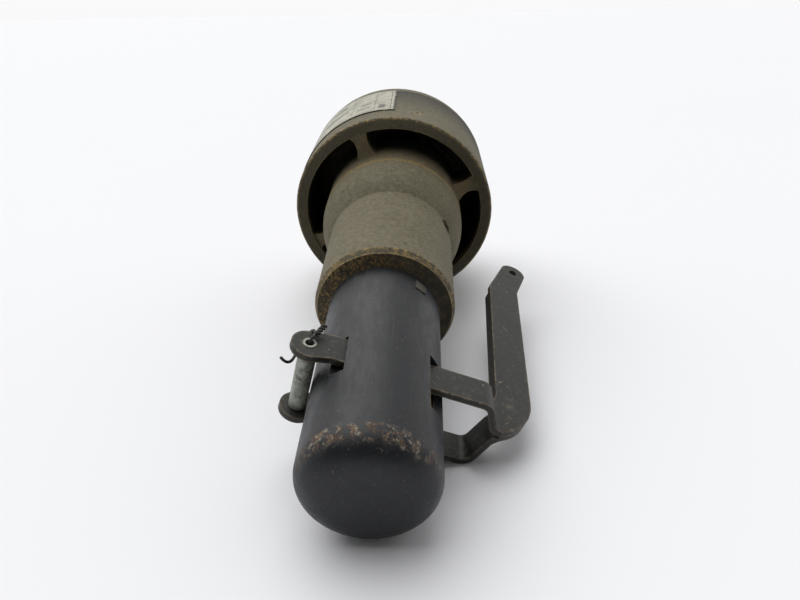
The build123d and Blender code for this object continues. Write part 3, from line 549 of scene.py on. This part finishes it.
materials = {
    "black_enamel": black_enamel("black_enamel"),
    "olive_paint": olive_cast("olive_cast", casting=True),
    "worn_brass": ring_brass("ring_brass"),
    "dull_brass": aged_metal(
        "dull_brass", dark=(0.20, 0.14, 0.05), light=(0.42, 0.31, 0.13), spot=(0.10, 0.07, 0.03),
        rough=0.42, turned=LATHE_PITCH),
    "blackened_steel": black_strip("black_strip"),
    "pivot_metal": aged_metal(
        "pivot_metal", dark=(0.19, 0.20, 0.165), light=(0.42, 0.44, 0.385), spot=(0.085, 0.07, 0.042),
        rough=0.55, metal=0.4, size=1.6, spots=0.6),
    "bare_steel": aged_metal(
        "bare_steel", dark=(0.16, 0.155, 0.14), light=(0.36, 0.35, 0.32), spot=(0.12, 0.07, 0.035),
        rough=0.42, metal=0.8),
    "rusty_steel": aged_metal(
        "rusty_steel", dark=(0.09, 0.04, 0.018), light=(0.25, 0.12, 0.045), spot=(0.035, 0.02, 0.012),
        rough=0.7, metal=0.3, size=1.2),
    "wire_steel": aged_metal(
        "wire_steel", dark=(0.02, 0.019, 0.018), light=(0.07, 0.067, 0.06), spot=(0.06, 0.035, 0.02),
        rough=0.5, metal=0.6, size=0.8),
    "spring_steel": aged_metal(
        "spring_steel", dark=(0.08, 0.08, 0.085), light=(0.20, 0.20, 0.21), spot=(0.09, 0.05, 0.025),
        rough=0.35, metal=0.9, size=1.5),
    "plate_face": plate_face("plate_face"),
    "brown_insulation": moulded(
        "brown_insulation", dark=(0.045, 0.018, 0.008), light=(0.12, 0.05, 0.022), rough=0.38),
    "coil_copper": wound_copper("wound_copper"),
    "contact_silver": aged_metal(
        "contact_silver", dark=(0.45, 0.44, 0.42), light=(0.75, 0.74, 0.71), spot=(0.2, 0.18, 0.15),
        rough=0.3, metal=0.95),
    "seal_rubber": moulded(
        "seal_rubber", dark=(0.012, 0.012, 0.012), light=(0.03, 0.03, 0.029), rough=0.65, specular=0.3),
}
cover_paint = olive_cast("olive_cover", casting=False)
key_steel = aged_metal(
    "key_steel", dark=(0.030, 0.026, 0.020), light=(0.085, 0.078, 0.062), spot=(0.10, 0.055, 0.025),
    rough=0.55, metal=0.4, size=1.5, spots=0.5)
own_finish = {"front_cover": cover_paint, "locating_key": key_steel}

# ---------------------------------------------------------------------------
# CAD nodes keep their shape and take a material
# ---------------------------------------------------------------------------
for part in record["subparts"]:
    node = frame["nodes"][part["node"]]
    finish = own_finish.get(part["node"], materials[part["material_slot"]])
    node.data.materials.clear()
    node.data.materials.append(finish)


def wire(name, routes, radius, material, body):
    """Round wire along smooth routes of points, riding on a body."""
    curve = bpy.data.curves.new(name, "CURVE")
    curve.dimensions = "3D"
    curve.bevel_depth = radius * MM
    curve.bevel_resolution = 4
    curve.resolution_u = 6
    for route in routes:
        spline = curve.splines.new("NURBS")
        spline.points.add(len(route) - 1)
        for point, spot in zip(spline.points, route):
            point.co = (*spot, 1.0)
        spline.order_u = 3
        spline.use_endpoint_u = True
    curve.use_fill_caps = True
    obj = bpy.data.objects.new(name, curve)
    bpy.context.scene.collection.objects.link(obj)
    mesh = bpy.data.meshes.new_from_object(obj.evaluated_get(bpy.context.evaluated_depsgraph_get()))
    bpy.data.objects.remove(obj)
    piece = bpy.data.objects.new(name, mesh)
    mesh.name = name
    mesh.materials.clear()
    mesh.materials.append(material)
    for polygon in mesh.polygons:
        polygon.use_smooth = True
    bpy.context.scene.collection.objects.link(piece)
    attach(piece, body)
    return piece


# ---------------------------------------------------------------------------
# The locking wire: a tail past the barrel, an end out of the hollow pin and a
# short twist of the two above the ear
# ---------------------------------------------------------------------------
WIRE_RADIUS = 0.42
TWIST_TURNS = 2
TWIST_SWING = 0.5
STEPS_PER_TURN = 8
PIN_REACH = 13.4
WIRE_DEPTH = 3.0
TWIST_START = place(-22.4, 38.4, 14.4)
TWIST_END = place(-20.8, 42.4, 15.2)


def strand(phase):
    """One strand of the twist, as points that wind about its middle line."""
    line = TWIST_END - TWIST_START
    heading = line.normalized()
    first = heading.cross(ACROSS).normalized()
    second = heading.cross(first)
    points = []
    steps = TWIST_TURNS * STEPS_PER_TURN
    for i in range(steps + 1):
        turn = math.tau * i / STEPS_PER_TURN + phase
        points.append(TWIST_START + line * (i / steps)
                      + (first * math.cos(turn) + second * math.sin(turn)) * TWIST_SWING * MM)
    return points


pin_end = PIN_MIDDLE + PIN * PIN_REACH * MM
tail = [place(-29.6, 31.0, 9.6), place(-28.6, 31.8, 8.0), place(-27.0, 32.6, 7.3),
        place(-26.1, 35.4, 7.0), place(-25.9, 39.0, 7.5), place(-25.0, 41.6, 9.0),
        place(-24.0, 42.6, 11.2), place(-23.4, 41.6, 13.3), place(-22.9, 40.2, 14.0)]
loop = [pin_end - PIN * WIRE_DEPTH * MM, pin_end, place(-23.2, 37.0, 14.4), place(-22.8, 38.0, 14.4)]
lock = wire("locking_wire_twist", [tail + strand(0.0), loop + strand(math.pi)],
            WIRE_RADIUS, materials["wire_steel"], "lever")
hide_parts("locking_wire")

# ---------------------------------------------------------------------------
# Floor, light and camera
# ---------------------------------------------------------------------------
FLOOR_HALF = 40.0
FLOOR_PATCH = 400
DIM_STRENGTH, FULL_STRENGTH = 0.10, 0.95
DIM_BELOW, FULL_ABOVE = -0.55, 0.45
SUN_STRENGTH = 1.9
SUN_WIDTH = 70
SUN_WAY = (0.35, -0.35, -1.05)
CAMERA_PLACE = (0.0079765, -0.2264536, 0.1247344)
CAMERA_RIGHT = Vector((0.99915271, 0.03741023, -0.01715618))
CAMERA_FORWARD = Vector((-0.04115558, 0.90534429, -0.42267946))
CAMERA_LENS = 27.9
CAMERA_SENSOR = 36.0
CAMERA_NEAR = 0.01

floor_mesh = bpy.data.meshes.new("floor")
shape = bmesh.new()
bmesh.ops.create_grid(shape, x_segments=8, y_segments=8, size=FLOOR_HALF)
shape.to_mesh(floor_mesh)
shape.free()
floor = bpy.data.objects.new("floor", floor_mesh)
bpy.context.scene.collection.objects.link(floor)
pale = Paint("pale_floor")
floor_colour = pale.mix(pale.noise(FLOOR_PATCH, 2), *FLOOR_WHITE)
floor_mesh.materials.append(pale.finish(floor_colour, 0.8, 0.0, 0.2))

# White light all round, dim from the camera's side and full from behind the part.
world = bpy.data.worlds.new("studio")
bpy.context.scene.world = world
world.use_nodes = True
sky = world.node_tree
sky.nodes.clear()
background = sky.nodes.new("ShaderNodeBackground")
world_output = sky.nodes.new("ShaderNodeOutputWorld")
sky.links.new(background.outputs[0], world_output.inputs[0])
direction = sky.nodes.new("ShaderNodeTexCoord")
split = sky.nodes.new("ShaderNodeSeparateXYZ")
sky.links.new(direction.outputs["Generated"], split.inputs[0])
strength = sky.nodes.new("ShaderNodeMapRange")
strength.interpolation_type = "SMOOTHSTEP"
sky.links.new(split.outputs["Y"], strength.inputs["Value"])
strength.inputs["From Min"].default_value = DIM_BELOW
strength.inputs["From Max"].default_value = FULL_ABOVE
strength.inputs["To Min"].default_value = DIM_STRENGTH
strength.inputs["To Max"].default_value = FULL_STRENGTH
sky.links.new(strength.outputs["Result"], background.inputs["Strength"])
background.inputs["Color"].default_value = (1.0, 1.0, 1.0, 1.0)

sun_data = bpy.data.lights.new("top_light", "SUN")
sun_data.energy = SUN_STRENGTH
sun_data.angle = math.radians(SUN_WIDTH)
sun = bpy.data.objects.new("top_light", sun_data)
sun.rotation_euler = Vector(SUN_WAY).to_track_quat("-Z", "Y").to_euler()
bpy.context.scene.collection.objects.link(sun)

camera_data = bpy.data.cameras.new("camera")
camera_data.lens = CAMERA_LENS
camera_data.sensor_width = CAMERA_SENSOR
camera_data.clip_start = CAMERA_NEAR
camera = bpy.data.objects.new("camera", camera_data)
camera_up = CAMERA_RIGHT.cross(CAMERA_FORWARD)
camera.matrix_world = Matrix((
    (CAMERA_RIGHT.x, camera_up.x, -CAMERA_FORWARD.x, CAMERA_PLACE[0]),
    (CAMERA_RIGHT.y, camera_up.y, -CAMERA_FORWARD.y, CAMERA_PLACE[1]),
    (CAMERA_RIGHT.z, camera_up.z, -CAMERA_FORWARD.z, CAMERA_PLACE[2]),
    (0.0, 0.0, 0.0, 1.0),
))
bpy.context.scene.collection.objects.link(camera)
bpy.context.scene.camera = camera
bpy.context.scene.view_settings.view_transform = "Standard"
